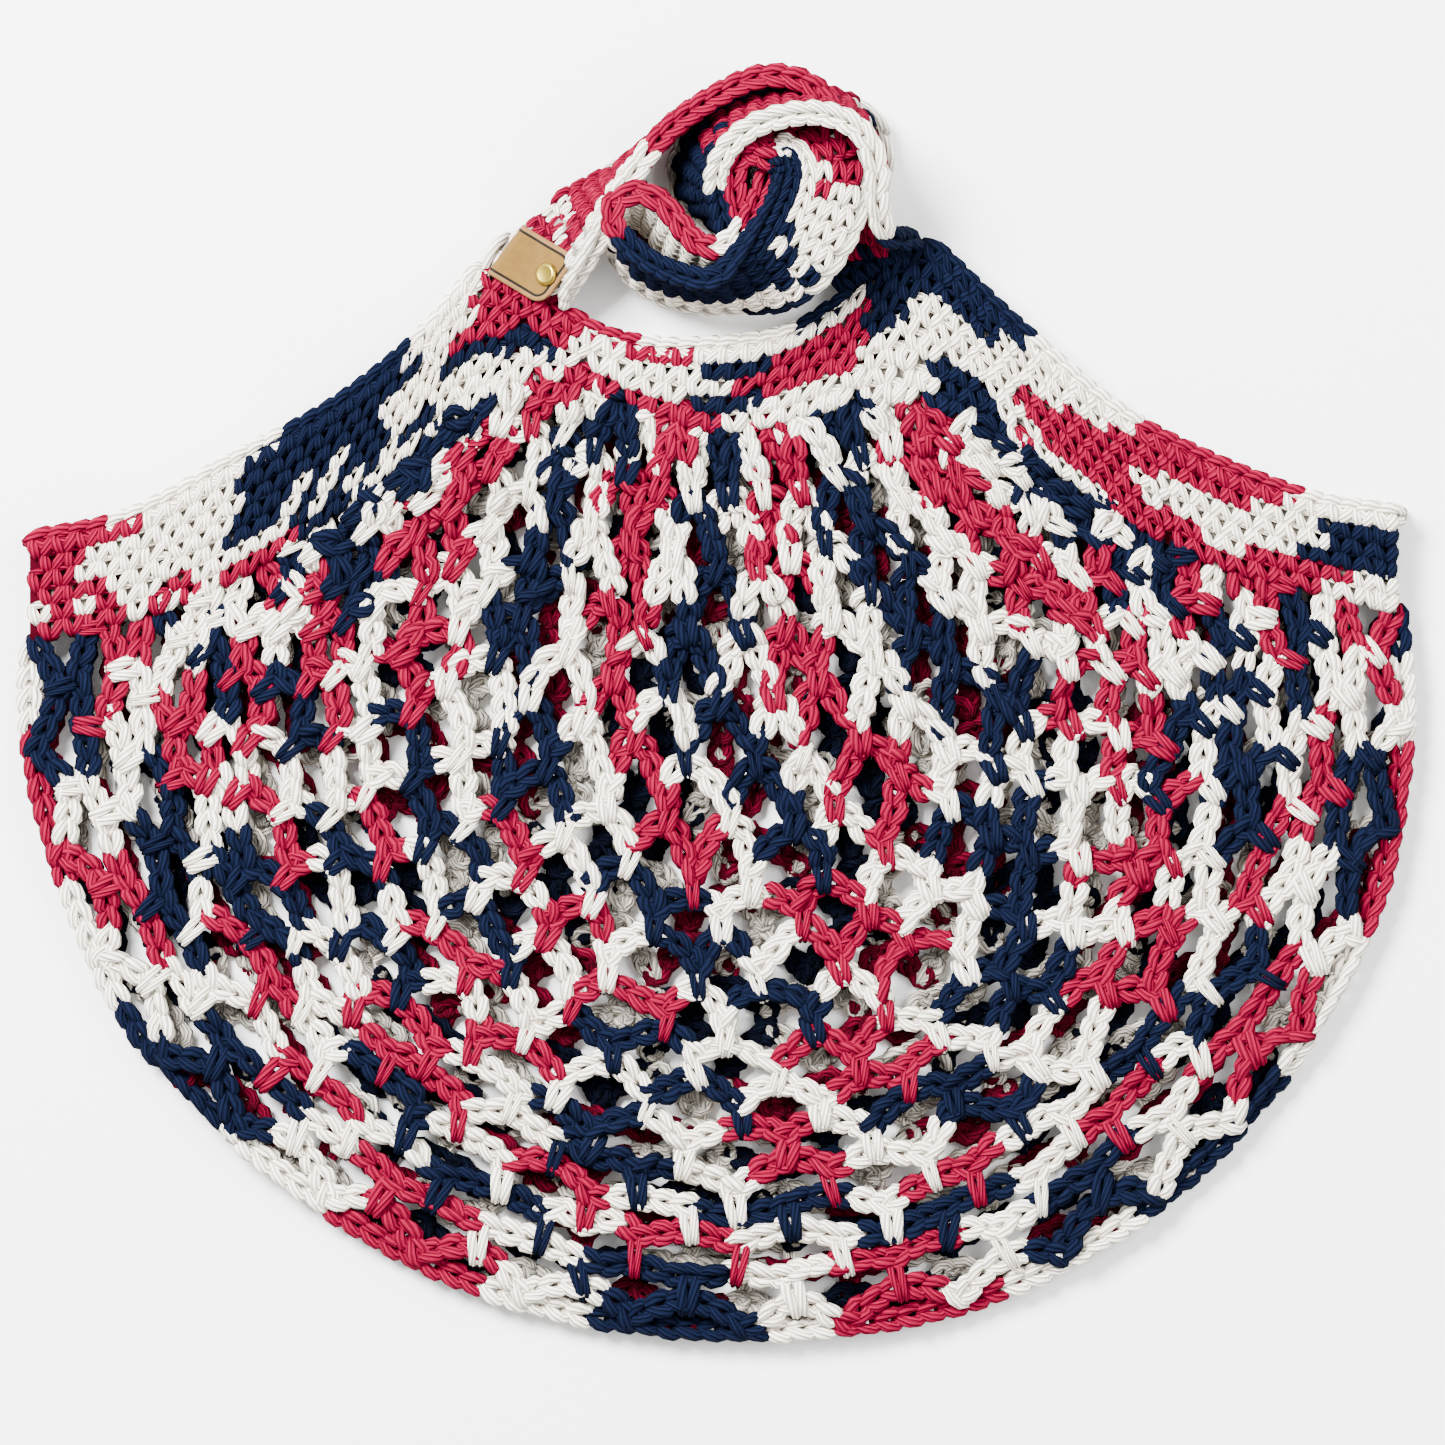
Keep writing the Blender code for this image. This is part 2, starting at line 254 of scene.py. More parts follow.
def yarnMaterial(name, tone):
    material = plainMaterial(name, tone, yarn["roughness"], gloss=yarn["gloss"])
    tree = material.node_tree
    shader = tree.nodes["Principled BSDF"]
    uv = tree.nodes.new("ShaderNodeUVMap")
    uv.uv_map = "lay"
    split = tree.nodes.new("ShaderNodeSeparateXYZ")
    tree.links.new(uv.outputs["UV"], split.inputs[0])
    around = mathNode(tree, "MULTIPLY", split.outputs["Y"], yarn["plies"])
    lay = mathNode(tree, "MULTIPLY_ADD", split.outputs["X"], yarn["plies"] / yarn["turn"], around)
    wave = mathNode(tree, "SINE", mathNode(tree, "MULTIPLY", lay, 2 * math.pi))
    ply = tree.nodes.new("ShaderNodeMapRange")  # rounded plies with narrow valleys
    ply.inputs["From Min"].default_value = -1.0
    ply.inputs["From Max"].default_value = yarn["plyTop"]
    tree.links.new(wave, ply.inputs["Value"])
    rounded = ply.outputs[0]
    scale, share = yarn["grain"]
    addBump(tree, mathNode(tree, "MULTIPLY_ADD", noiseNode(tree, scale, 3), share, rounded), *yarn["bump"])
    # painted shade, darker between the plies and deep in the stitch; the yarn is also dyed a little
    # unevenly
    shade = mathNode(tree, "MULTIPLY_ADD", rounded, 1 - yarn["valleyShade"], yarn["valleyShade"] - yarn["dyeLow"])
    scale, share = yarn["dye"]
    dye = mathNode(tree, "MULTIPLY_ADD", noiseNode(tree, scale), share, shade)
    # the painted shade of each vertex darkens the colour
    depth = tree.nodes.new("ShaderNodeAttribute")
    depth.attribute_name = "depth"
    factor = mathNode(tree, "MULTIPLY", dye, depth.outputs["Fac"])
    tree.links.new(tinted(tree, tone, factor), shader.inputs["Base Color"])
    return material


def strandInto(bm, points, radii, sides, rings):
    # one short strand of yarn: a capped rod, cut into rings and bent along the points
    made = bmesh.ops.create_cone(bm, cap_ends=True, segments=sides, radius1=1, radius2=1, depth=1)
    rod = set(made["verts"])
    for i in range(1, rings):
        edges = [edge for edge in bm.edges if edge.verts[0] in rod]
        faces = [face for face in bm.faces if face.verts[0] in rod]
        height = -0.5 + i / rings
        cut = bmesh.ops.bisect_plane(
            bm, geom=list(rod) + edges + faces, plane_co=(0, 0, height), plane_no=(0, 0, 1)
        )
        rod |= {item for item in cut["geom_cut"] if isinstance(item, bmesh.types.BMVert)}
    layer = bm.loops.layers.uv.verify()
    length = sum((Vector(b) - Vector(a)).length for a, b in zip(points, points[1:]))
    for face in {face for vert in rod for face in vert.link_faces}:
        turns = [math.atan2(loop.vert.co.y, loop.vert.co.x) / (2 * math.pi) for loop in face.loops]
        low = min(turns)
        for loop, turn in zip(face.loops, turns):
            if turn - low > 0.5:
                turn -= 1.0
            loop[layer].uv = ((loop.vert.co.z + 0.5) * length, turn)
    for vert in rod:
        t = vert.co.z + 0.5
        centre = spline(points, t)
        ahead = (spline(points, t + 0.05) - spline(points, t - 0.05)).normalized()
        flat = Vector((0, 0, 1)) if abs(ahead.z) < 0.9 else Vector((0, 1, 0))
        out = ahead.cross(flat).normalized()
        up = out.cross(ahead).normalized()
        radius = spline([(r, 0) for r in radii], t).x
        vert.co = centre + (out * vert.co.x + up * vert.co.y) * radius


def asTemplate(bm, deepShade=None):
    # arrays of one small mesh, in millimetres, for laying many copies of it
    bmesh.ops.recalc_face_normals(bm, faces=bm.faces)
    bm.verts.index_update()
    layer = bm.loops.layers.uv.verify()
    verts = np.array([vert.co for vert in bm.verts])
    # painted shade: each vertex grows darker the lower it lies in its stitch, down to the darkest
    # brightness in the yarn table, as if shade fell there
    share = np.clip((verts[:, 2] - yarn["low"]) / (yarn["high"] - yarn["low"]), 0, 1)
    depth = yarn["deepShade"] + (1 - yarn["deepShade"]) * share * share * (3 - 2 * share)
    template = {
        "verts": verts,
        "depth": depth if deepShade is None else np.full(len(verts), deepShade),
        "counts": np.array([len(face.verts) for face in bm.faces]),
        "corners": np.array([vert.index for face in bm.faces for vert in face.verts]),
        "uvs": np.array([loop[layer].uv for face in bm.faces for loop in face.loops]),
        "tones": np.array([face.material_index for face in bm.faces]),
    }
    bm.free()
    return template


def makeStitch(strands, sides=6, rings=6):
    # each strand is (points, radii), across, along and up, and one off the middle has its mirror image
    bm = bmesh.new()
    for points, radii in strands:
        strandInto(bm, points, radii, sides, rings)
        if any(abs(point[0]) > 0.01 for point in points) and points[0][0] * points[-1][0] >= 0:
            strandInto(bm, [(-x, y, z) for x, y, z in points], radii, sides, rings)
    return asTemplate(bm)


class Lot:
    # stitches collected for one piece, then joined into a single mesh

    def __init__(self):
        self.parts = []
        self.size = 0

    def add(self, template, place, across, along, up, tone, shift=0.0):
        part = dict(template)
        part["verts"] = template["verts"] @ np.array([across, along, up]) + np.array(place)
        part["corners"] = template["corners"] + self.size
        part["uvs"] = template["uvs"] + (shift, 0.0)
        if tone is not None:
            part["tones"] = np.full(len(template["counts"]), tone)
        self.parts.append(part)
        self.size += len(template["verts"])

    def sheet(self, grid, toneOf, thickness):
        # a thin sheet behind the stitches, through a grid of places, standing in for the yarn between them:
        # coloured like them and darkened all over with painted shade
        rows = len(grid) - 1
        columns = len(grid[0]) - 1
        bm = bmesh.new()
        bmesh.ops.create_grid(bm, x_segments=columns, y_segments=rows, size=1)
        bm.verts.ensure_lookup_table()
        for i, vert in enumerate(bm.verts):
            vert.co = grid[i // (columns + 1)][i % (columns + 1)]
        for i, face in enumerate(bm.faces):
            face.material_index = toneOf(i // columns, i % columns)
        bmesh.ops.recalc_face_normals(bm, faces=bm.faces)
        bmesh.ops.solidify(bm, geom=bm.faces[:], thickness=thickness)
        template = asTemplate(bm, deepShade=yarn["deepShade"])
        self.add(template, (0, 0, 0), (1, 0, 0), (0, 1, 0), (0, 0, 1), None)

    def finish(self, name):
        whole = {key: np.concatenate([part[key] for part in self.parts]) for key in self.parts[0]}
        verts = whole["verts"] - (*middle, 0)
        # yarn flattens against the table
        verts[:, 2] = np.logaddexp(0, verts[:, 2] / yarn["give"]) * yarn["give"]
        verts *= mm
        counts = whole["counts"]
        mesh = bpy.data.meshes.new(name)
        mesh.vertices.add(len(verts))
        mesh.vertices.foreach_set("co", verts.astype(np.float32).ravel())
        mesh.loops.add(len(whole["corners"]))
        mesh.loops.foreach_set("vertex_index", whole["corners"].astype(np.int32))
        mesh.polygons.add(len(counts))
        starts = np.concatenate([[0], np.cumsum(counts)[:-1]])
        mesh.polygons.foreach_set("loop_start", starts.astype(np.int32))
        mesh.polygons.foreach_set("material_index", whole["tones"].astype(np.int32))
        mesh.polygons.foreach_set("use_smooth", np.ones(len(counts), bool))
        layer = mesh.uv_layers.new(name="lay")
        layer.data.foreach_set("uv", whole["uvs"].astype(np.float32).ravel())
        # the painted shade of each vertex, kept as the depth attribute
        depth = mesh.attributes.new("depth", "FLOAT", "POINT")
        depth.data.foreach_set("value", whole["depth"].astype(np.float32))
        for material in yarnMaterials:
            mesh.materials.append(material)
        mesh.update(calc_edges=True)
        mesh.validate()
        obj = bpy.data.objects.new(name, mesh)
        bpy.context.scene.collection.objects.link(obj)
        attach(obj, "root")
        print(name, int((counts - 2).sum()), "triangles")
        return obj


stitches = {
    # a chain stitch: two plump strands that leave the last stitch together and curl over into the next
    "chain": (
        [
            (0.1, -3.9, -1.0), (0.9, -2.2, 0.3), (1.8, 0.2, 0.95), (2.1, 2.3, 0.7), (1.3, 3.9, -0.3),
            (0.3, 4.3, -1.3),
        ],
        [1.0, 1.45, 1.7, 1.6, 1.35, 1.0],
    ),
    # the legs of a joint, which grip the loop of the row before
    "grip": (
        [
            (1.5, 5.2, -0.2), (1.55, 3.8, 1.4), (1.35, 1.6, 2.5), (1.1, -0.8, 2.6), (0.9, -2.6, 1.3),
            (0.8, -3.2, -0.8),
        ],
        [1.1, 1.35, 1.35, 1.3, 1.15, 0.9],
    ),
    # a close stitch of the rim and the strap, and the bar that its top makes
    "leg": (
        [(0.4, -3.1, -0.9), (1.2, -1.6, 0.6), (2.0, 0.1, 1.2), (2.6, 1.6, 0.6), (2.7, 2.6, -0.9)],
        [1.1, 1.65, 1.85, 1.6, 1.0],
    ),
    "bar": ([(-3.4, 2.7, -0.6), (0.0, 3.1, 0.0), (3.4, 2.7, -0.6)], [1.0, 1.3, 1.0]),
}
yarnMaterials = [yarnMaterial(name, tone) for name, tone in zip(yarn["names"], yarn["tones"])]
chainFine = makeStitch([stitches["chain"]], rings=5)
chainPlain = makeStitch([stitches["chain"]], sides=5, rings=4)
gripStitch = makeStitch([stitches["grip"]], rings=5)
closeStitch = makeStitch([stitches["leg"], stitches["bar"]], rings=5)
closePlain = makeStitch([stitches["leg"], stitches["bar"]], sides=5, rings=3)
print("yarn ready")

net = {
    "loops": 20,
    "rows": 18,
    # how the rows crowd together at the sides, and how much more in the middle
    "side": -0.2,
    "crowding": 0.56,
    # heights of the layers, and how far they close towards the fold
    "front": 8.2,
    "back": 2.6,
    "drop": 1.6,
    # a chain stitch, a joint, and a joint's extra length at the fold
    "link": 5.6,
    "head": 5.2,
    "straight": 2.4,
    "straightRows": 6,
    "headOverlap": 0.6,
    # how far the joints stray, sideways and in height, and how quickly that changes
    "wander": 5.12,
    "wanderScale": 0.05,
    "apart": (7.3, 0, 0),
    "rise": 1.3,
    "riseScale": 0.03,
    "backRise": 0.5,
    # middle and spread of what differs from stitch to stitch
    "plump": (1.06, 0.06),
    "lean": 0.14,
    "loopRoll": 0.3,
    "foldRoll": 0.5,
    "gripTurn": 0.2,
    "gripWidth": (0.7, 1.3),
    "lift": (0.3, 0.5),
    "bulge": 0.8,
    "slack": (0.08, 0.04),
    # narrow loops lie over and under each other by turns
    "crowdWidth": 20,
    "crowdMost": 1.2,
    "over": 2.2,
    "under": -1.8,
    "shoulder": 2.6,
    "shoulderShare": 0.2,
    "topOut": 0.5,
    "contour": [
        (-185, 16), (-184, -16), (-173, -54), (-152, -94), (-112, -131), (-60, -159),
        (0, -170), (60, -164), (112, -140), (153, -100), (178, -54), (186, -10), (184, 24),
    ],
    "left": [(-185, 16), (-141, 27), (-104, 49), (-77, 71)],
    "collar": [(-77, 71), (-47, 87), (0, 73), (45, 81), (77, 72)],
    "right": [(184, 24), (131, 38), (104, 54), (77, 72)],
    # lengths of each colour along the yarn, in stitches
    "repeat": [(white, 6), (red, 8), (white, 5), (navy, 8), (white, 4), (red, 7), (white, 6), (navy, 8)],
}
seams = {name: evenSpline(net[name], fineness) for name in ("contour", "collar", "left", "right")}


def seamPlace(name, t):
    place = min(max(t, 0.0), 1.0) * fineness
    i = min(int(place), fineness - 1)
    return seams[name][i].lerp(seams[name][i + 1], place - i)


def netPlace(t, rho):
    # from the bottom fold, rho 0, to the collar, rho 1
    across = seamPlace("contour", t).lerp(seamPlace("collar", t), rho)
    upright = seamPlace("left", rho).lerp(seamPlace("right", rho), t)
    leftEnd = seamPlace("contour", 0).lerp(seamPlace("collar", 0), rho)
    rightEnd = seamPlace("contour", 1).lerp(seamPlace("collar", 1), rho)
    return across + upright - leftEnd.lerp(rightEnd, t)


def rowShare(row, t):
    # evenly bent: closer rows at the bottom in the middle, and at the collar at the sides
    share = row / net["rows"]
    bend = net["side"] + net["crowding"] * math.sin(math.pi * t)
    return share * (1 - bend) + bend * share**2


class Yarn:
    # hands out the colour of each next stitch along the yarn

    def __init__(self, start):
        self.i = start % len(net["repeat"])
        self.left = net["repeat"][self.i][1]

    def next(self):
        if self.left <= 0:
            self.i = (self.i + 1) % len(net["repeat"])
            self.left = net["repeat"][self.i][1] + int(chance.integers(-1, 2))
        self.left -= 1
        return net["repeat"][self.i][0]


def layChain(lot, template, points, ball, facing, roll):
    # stitches one after another along the curve
    length = curveLength(points)
    count = max(round(length / net["link"]), 1)
    steps = evenSpline(points, count * 2, flat=False)
    stretch = length / count / net["link"]
    for i in range(count):
        ahead = (steps[2 * i + 2] - steps[2 * i]).normalized()
        side = ahead.cross(Vector((0, 0, facing))).normalized()
        up = side.cross(ahead).normalized()
        lean = roll + vary(0, net["lean"])
        tilted = up * math.cos(lean) + side * math.sin(lean)
        across = ahead.cross(tilted).normalized() * vary(*net["plump"])
        start = stagger()
        lot.add(template, steps[2 * i + 1], across, ahead * stretch, tilted, ball.next(), start)


class Net:
    # one layer of the net: where its joints lie, and the loops between them

    def __init__(self, layer, phase, seed):
        self.layer = layer
        self.phase = phase
        self.seed = seed
        self.facing = 1 if layer == "front" else -1
        self.joints = {}

    def joint(self, row, column):
        key = (row, round(column * 2))
        if key not in self.joints:
            loops = net["loops"]
            t = column / loops
            inner = 0 < column < loops
            moved = t + (self.phase / loops * math.sin(math.pi * t) if inner else 0)
            flat = netPlace(moved, rowShare(row, moved))
            fade = min(row, 3) / 3 * min((net["rows"] - row) / 2, 1) * (1 if inner else 0)
            spot = Vector((flat.x, flat.y, self.seed * 20)) * net["wanderScale"]
            push = Vector((noise.noise(spot), noise.noise(spot + Vector(net["apart"]))))
            push *= net["wander"] * fade
            scale = net["riseScale"]
            rise = noise.noise(Vector((flat.x * scale, flat.y * scale, self.seed + 5))) * net["rise"] * fade
            if self.layer == "back":
                rise = abs(rise) * net["backRise"]
            z = net[self.layer] + rise if row else net[self.layer] - net["drop"] * self.facing
            self.joints[key] = Vector((flat.x + push.x, flat.y + push.y, z))
        return self.joints[key]

    def outward(self, row, column):
        # in plan, away from the collar
        t = column / net["loops"]
        way = netPlace(t, rowShare(max(row - 0.5, 0), t)) - netPlace(t, rowShare(row + 0.5, t))
        return Vector((way.x, way.y, 0)).normalized() if way.length > 1e-6 else Vector((0, -1, 0))

    def reach(self, row, column):
        # joints are longer near the bottom fold, where the loops lie straight
        low = max(1 - row / net["straightRows"], 0) * math.sin(math.pi * column / net["loops"])
        return net["head"] + net["straight"] * low

    def head(self, row, column):
        reach = self.reach(row, column) if row else net["headOverlap"]
        return self.joint(row, column) - self.outward(row, column) * reach

    def loop(self, row, a, b):
        # the curve of a loop that hangs from two joints, or of the half loop at an end of the row
        if a is None or b is None:
            known = b if a is None else a
            head = self.head(row, known)
            seam = self.joint(row + 1, 0.0 if known < 1 else float(net["loops"]))
            points = [head, head.lerp(seam, 0.5), seam]
            return points[::-1] if a is None else points
        top = (a + b) / 2
        peak = self.joint(row + 1, top)
        first = self.head(row, a)
        last = self.head(row, b)
        wide = (last - first).length
        way = (last - first).normalized()
        out = self.outward(row + 1, top)
        crowd = min(max(net["crowdMost"] - wide / net["crowdWidth"], 0), 1)
        lift = vary(*net["lift"]) + crowd * (net["over"] if round(top) % 2 else net["under"])
        bulge = out * vary(0, net["bulge"]) + Vector((0, 0, lift * self.facing))
        slack = way * (wide * vary(*net["slack"]))
        shoulder = way * min(net["shoulder"], net["shoulderShare"] * wide)
        overlap = way * net["headOverlap"]
        return [
            first - overlap,
            first.lerp(peak, 0.5) - slack + bulge,
            peak - shoulder + out * net["topOut"],
            peak + shoulder + out * net["topOut"],
            last.lerp(peak, 0.5) + slack + bulge,
            last + overlap,
        ]

    def lay(self, template):
        loops = net["loops"]
        lots = [Lot(), Lot()]
        ball = Yarn(self.seed)
        lift = Vector((0, 0, self.facing))
        for row in range(net["rows"]):
            if row % 2 == 0:
                ends = [float(k) for k in range(loops + 1)]
            else:
                ends = [None] + [k + 0.5 for k in range(loops)] + [None]
            spans = list(zip(ends, ends[1:]))
            if row % 4 in (1, 2):
                spans = [(b, a) for a, b in reversed(spans)]
            for a, b in spans:
                lot = lots[int((b if a is None else a) >= loops / 2)]
                points = self.loop(row, a, b)
                layChain(lot, template, points, ball, self.facing, vary(0, net["loopRoll"]))
                if row and b is not None:
                    out = self.outward(row, b)
                    turn = vary(0, net["gripTurn"])
                    legs = -(out * math.cos(turn) + lift.cross(out) * math.sin(turn))
                    across = legs.cross(lift).normalized() * float(chance.uniform(*net["gripWidth"]))
                    legs *= self.reach(row, b) / net["head"]
                    lot.add(gripStitch, self.joint(row, b), across, legs, lift, ball.next())
        if self.layer == "front":  # a chain along the bottom fold
            for k in range(loops):
                fold = [netPlace((k + i / 3) / loops, 0.0) for i in range(4)]
                points = [Vector((p.x, p.y, (net["front"] + net["back"]) / 2)) for p in fold]
                layChain(lots[int(k >= loops / 2)], template, points, ball, 1, vary(0, net["foldRoll"]))
        return [lot.finish("net_%s_%s" % (self.layer, side)) for lot, side in zip(lots, ("left", "right"))]


rim = {
    "leftEdge": [(-185, 43), (-158, 49), (-128, 65), (-101, 80), (-78, 98.5), (-63.8, 115.4)],
    "collarEdge": [(-41, 104.5), (-29, 98), (-10, 95), (18, 98), (36, 108)],
    "rightEdge": [(184, 50), (157, 55), (114, 74), (84, 98), (57.4, 123.2)],
    "sideColumns": 5,
    "collarColumns": 12,
    "rows": 6,
    # a stitch's width and height on the band, and those it is drawn with
    "stitch": 6.0,
    "tall": 4.5,
    "drawnWidth": 6.6,
    "drawnHeight": 5.1,
    "edgeLink": 5.4,
    "drawnLink": 5.0,
    "braidLift": 0.6,
    "front": 8.4,
    "back": 2.4,
    "ground": 1.6,
    # middle and spread of what differs from stitch to stitch
    "proud": (0.9, 0.2),
    "plump": (1.02, 0.06),
    "lean": 0.1,
    "mix": 1.8,
    # colours of each row, from the outer edge in, each from its photo column on; two together take turns
    "tones": [
        [
            (0, red), (133, white), (245, navy), (408, white), (482, red), (700, white), (872, navy),
            (1018, white), (1128, red), (1290, white),
        ],
        [
            (0, red), (92, white), (231, navy), (406, white), (482, red), (566, white), (620, navy),
            (776, red), (860, navy), (1004, white), (1105, red), (1250, white), (1322, navy),
        ],
        [
            (0, red), (69, white), (225, navy), (375, white), (452, red), (560, white), (716, red),
            (868, navy), (905, white), (1060, red), (1150, white), (1306, navy),
        ],
        [
            (0, red), (40, (red, white)), (75, red), (118, white), (236, navy), (285, (white, navy)),
            (345, navy), (392, white), (452, navy), (560, white), (716, red), (868, white), (1020, red),
            (1140, white), (1290, navy),
        ],
        [
            (0, red), (36, (white, red)), (130, (red, white, white)), (230, white), (290, (navy, white)),
            (400, navy), (440, white), (540, navy), (745, white), (915, navy), (1000, white), (1050, red),
            (1200, white), (1240, red), (1330, white),
        ],
        [
            (0, (red, white)), (70, red), (115, (white, red)), (215, red), (310, navy), (350, white),
            (570, red), (728, white), (930, navy), (990, red), (1020, white), (1110, red), (1320, white),
        ],
    ],
    "outerBraid": [
        (0, red), (115, white), (290, navy), (408, white), (928, navy), (1024, white), (1132, red),
        (1296, white),
    ],
    "collarBraid": [(0, red), (640, white), (788, navy)],
}


def photoColumn(x):
    return x / stage["pixel"] + stage["zero"][0]


def rimColumns():
    columns = []
    left = evenSpline(rim["leftEdge"], fineness)
    right = evenSpline(rim["rightEdge"], fineness)
    collar = evenSpline(rim["collarEdge"], fineness)
    sides = rim["sideColumns"]
    middles = rim["collarColumns"]
    for i in range(sides + 1):
        columns.append((seamPlace("left", i / sides), left[round(fineness * i / sides)]))
    for k in range(1, middles):
        inner = collar[round(fineness * (k - 1) / (middles - 2))]
        columns.append((seamPlace("collar", k / middles), inner))
    for i in range(sides, -1, -1):
        columns.append((seamPlace("right", i / sides), right[round(fineness * i / sides)]))
    return columns


def layBraid(lot, points, tones, facing):
    # the V shaped top loops along an edge
    length = curveLength(points)
    count = round(length / rim["edgeLink"])
    steps = evenSpline(points, count * 2, flat=False)
    for i in range(count):
        ahead = steps[2 * i + 2] - steps[2 * i]
        lift = Vector((0, 0, facing))
        across = ahead.cross(lift).normalized()
        up = across.cross(ahead).normalized()
        place = steps[2 * i + 1]
        tone = toneAt(tones, photoColumn(place.x))
        lot.add(chainFine, place, across, ahead / rim["drawnLink"], up, tone, stagger())


def makeRimLayer(layer, facing, template):
    columns = rimColumns()
    rows = rim["rows"]
    lot = Lot()
    lines = [[low.lerp(high, j / rows) for low, high in columns] for j in range(rows + 1)]
    count = round(curveLength(lines[rows // 2]) / rim["stitch"])
    grid = []
    for line in lines:
        grid.append([Vector((p.x, p.y, rim[layer])) for p in evenSpline(line, count * 2)])

    def toneOf(share, x, k):
        tone = toneAt(rim["tones"][min(int(share * rows), rows - 1)], photoColumn(x))
        return tone if isinstance(tone, int) else tone[k % len(tone)]

    # a backing sheet, darkened all over with painted shade
    ground = Lot()
    ground.sheet(grid, lambda i, j: toneOf((rows - i - 0.5) / rows, grid[i][j].x, j // 2), rim["ground"])
    lift = Vector((0, 0, facing))
    for k in range(count):
        here = round((grid[rows][2 * k + 1] - grid[0][2 * k + 1]).length / rim["tall"])
        for j in range(here):
            share = (j + 0.5) / here
            column = min(2 * k + 1 + j % 2, 2 * count - 1)
            bottom, top = grid[0][column], grid[rows][column]
            low = grid[0][column + 1] - grid[0][column - 1]
            side = low.lerp(grid[rows][column + 1] - grid[rows][column - 1], 1 - share)
            place = top.lerp(bottom, share) + lift * vary(*rim["proud"])
            across = side.normalized() * facing * (side.length / rim["drawnWidth"]) * vary(*rim["plump"])
            turn = side.normalized() * vary(0, rim["lean"])
            along = (top - bottom) / here / rim["drawnHeight"] + turn
            tone = toneOf(share, place.x + vary(0, rim["mix"]), k)
            lot.add(template, place, across, along, lift, tone, stagger())
    for edge in ("leftEdge", "rightEdge", "collarEdge"):
        tones = rim["collarBraid" if edge == "collarEdge" else "outerBraid"]
        points = [Vector((x, y, rim[layer] + rim["braidLift"] * facing)) for x, y in rim[edge]]
        layBraid(lot, points[::-1] if edge == "rightEdge" else points, tones, facing)
    return ground.finish("rim_ground_" + layer), lot.finish("rim_" + layer)


strap = {
    "width": 26.0,
    # width of the braid along each edge
    "inset": 2.6,
    "ground": 1.6,
    # stitches across, and their length
    "across": 5,
    "pitch": 5.0,
    # width and length that a stitch is drawn with, and how far it stands out
    "drawnWidth": 6.0,
    "drawnLength": 5.0,
    "proud": 0.8,
    "tall": 0.9,
    "edgeLink": 5.2,
    "drawnLink": 4.9,
    "edgeOut": 1.0,
    # rows of stitches that the tag presses down
    "pressed": 4,
    "pressedTall": 0.45,
    "lean": 0.1,
    "mix": 0.4,
    # middle of the strap: x, y, height, and lean of its inner edge in degrees
    "outer": [
        (-51.4, 111.6, 8.4, 4), (-48.4, 117.2, 9.5, 18), (-37.4, 128.2, 13.8, 50), (-24.6, 141.4, 15.5, 80),
        (-12.5, 153.6, 15.8, 90), (1.0, 162.0, 15.8, 94), (14.0, 165.6, 15.8, 102), (26.0, 163.4, 15.6, 98),
        (33.4, 157.4, 15.2, 76), (35.4, 147.4, 10.2, 34), (32.0, 137.0, 6.4, 14), (25.0, 129.0, 6.4, 14),
    ],
    "upper": [
        (45.4, 116.6, 8.4, 6), (41.8, 121.6, 10.4, 30), (39.6, 128.6, 14.6, 54), (40.6, 137.2, 19.5, 72),
        (41.8, 147.0, 23.0, 84), (38.0, 155.6, 24.5, 96), (29.5, 160.4, 25.0, 104),
        (19.0, 160.4, 25.0, 106), (7.2, 157.0, 24.0, 110), (-2.0, 149.4, 21.5, 116),
        (-4.8, 139.0, 18.0, 112), (1.0, 129.5, 15.6, 92), (6.0, 124.0, 15.0, 90),
    ],
    "inner": [
        (7.6, 130.0, 15.2, 92), (5.6, 138.0, 16.5, 92), (7.0, 146.5, 18.0, 90), (13.0, 150.8, 20.0, 78),
        (22.5, 151.0, 24.0, 46), (28.4, 145.0, 27.5, 18), (28.0, 135.0, 29.5, 8), (23.0, 124.4, 29.5, 8),
        (14.6, 115.4, 27.6, 36), (3.6, 110.4, 24.6, 74), (-9.2, 111.4, 21.6, 76), (-20.0, 116.4, 20.0, 78),
        (-26.6, 124.6, 18.5, 86), (-27.0, 130.4, 18.0, 98), (-22.6, 133.4, 18.0, 106),
        (-16.6, 131.0, 18.5, 108), (-10.2, 123.6, 19.5, 106), (-3.2, 119.0, 20.0, 102),
        (4.2, 121.6, 19.0, 96), (10.2, 130.0, 17.0, 92), (13.4, 139.0, 15.6, 90),
    ],
    # colour from each share of the run on: inner edge, outer edge, face
    "outerTones": (
        [(0.0, white), (0.36, red), (0.8, white)],
        [(0.0, white), (0.12, red), (0.26, white), (0.3, red), (0.8, white)],
        [(0.0, red), (0.47, navy)],
    ),
    "upperTones": (
        [(0.0, navy), (0.12, white), (0.83, navy)],
        [(0.0, navy), (0.2, white), (0.4, red), (0.58, white)],
        [(0.0, navy), (0.06, red), (0.22, white), (0.28, red), (0.7, navy)],
    ),
    "innerTones": (
        [(0.0, red), (0.17, navy), (0.64, red), (0.865, white), (0.93, red)],
        [(0.0, navy), (0.1, white), (0.37, navy), (0.46, white), (0.66, red), (0.8, white)],
        [(0.0, navy), (0.06, red), (0.16, white), (0.4, navy), (0.64, white), (0.92, red)],
    ),
    # other colours on the faces: from and to along the run, and across it
    "outerPatches": [(0.02, 0.3, 0.5, 1, white), (0.0, 0.07, -1, 0.5, white), (0.12, 0.15, -1, 0.2, white)],
    "upperPatches": [(0.0, 0.05, -1, 1, navy)],
    "innerPatches": [
        (0.19, 0.44, 0.5, 1, navy), (0.17, 0.25, -1, 0.1, red), (0.2, 0.22, -0.6, 0, white),
        (0.35, 0.4, -0.1, 0.5, navy), (0.36, 0.38, -1, -0.5, navy), (0.42, 0.66, -1, -0.3, white),
    ],
}


